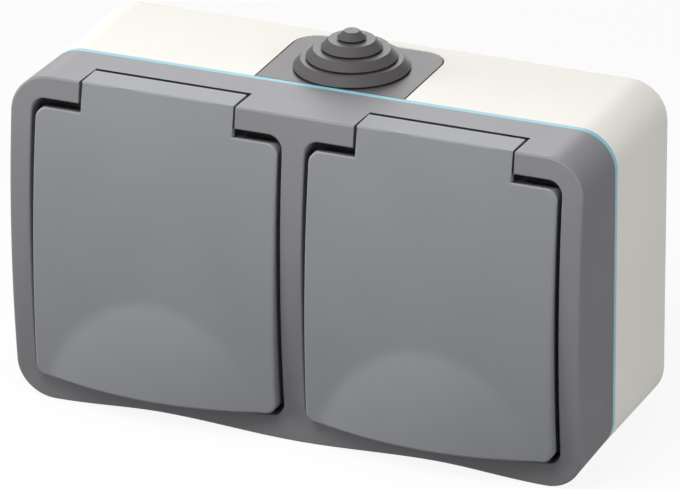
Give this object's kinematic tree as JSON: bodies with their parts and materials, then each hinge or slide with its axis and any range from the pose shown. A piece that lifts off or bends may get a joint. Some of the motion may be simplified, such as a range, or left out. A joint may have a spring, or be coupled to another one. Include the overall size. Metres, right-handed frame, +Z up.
{
  "type": "outdoor weatherproof socket",
  "caption": "Surface-mounted outdoor wall socket with spring-loaded hinged lids over round plug wells, a sealed front frame and a stepped rubber cable gland on top.",
  "frame": {"origin": "middle of the back face that lies on the wall", "axes": "+X to the right seen from the front, +Y into the wall, +Z up; the lids face -Y"},
  "size_m": [0.14, 0.0583, 0.0889],
  "materials": {
    "white_plastic": "satin",
    "grey_plastic": "satin",
    "lid_plastic": "satin",
    "insulating_plastic": "matte",
    "blue_rubber": "matte",
    "grey_rubber": "matte",
    "steel": "zinc plated",
    "brass": "plain"
  },
  "bodies": {
    "housing": {"back_box": "white_plastic", "cable_gland": "grey_rubber", "box_gasket": "blue_rubber", "front_frame": "grey_plastic", "base_screws": "steel", "terminal_screws": "steel", "left_hinge_pin": "steel", "left_lid_spring": "steel", "left_socket_well": "grey_plastic", "left_contact_base": "insulating_plastic", "left_line_contact": "brass", "left_neutral_contact": "brass", "left_earth_strap": "brass", "left_well_screw": "steel", "right_hinge_pin": "steel", "right_lid_spring": "steel", "right_socket_well": "grey_plastic", "right_contact_base": "insulating_plastic", "right_line_contact": "brass", "right_neutral_contact": "brass", "right_earth_strap": "brass", "right_well_screw": "steel"},
    "left_lid_body": {"left_lid": "lid_plastic", "left_lid_seal": "blue_rubber"},
    "right_lid_body": {"right_lid": "lid_plastic", "right_lid_seal": "blue_rubber"}
  },
  "joints": [
    {"name": "left_lid_hinge", "type": "hinge", "parent": "housing", "child": "left_lid_body", "pos_m": [-0.0338, -0.04785, 0.03695], "axis": [-1, 0, 0], "range_deg": [0, 100], "stiffness_Nm_per_rad": 0.015, "springref_deg": -40.11, "deforming": ["left_lid_spring"]},
    {"name": "right_lid_hinge", "type": "hinge", "parent": "housing", "child": "right_lid_body", "pos_m": [0.0338, -0.04785, 0.03695], "axis": [-1, 0, 0], "range_deg": [0, 100], "stiffness_Nm_per_rad": 0.015, "springref_deg": -40.11, "deforming": ["right_lid_spring"]}
  ]
}
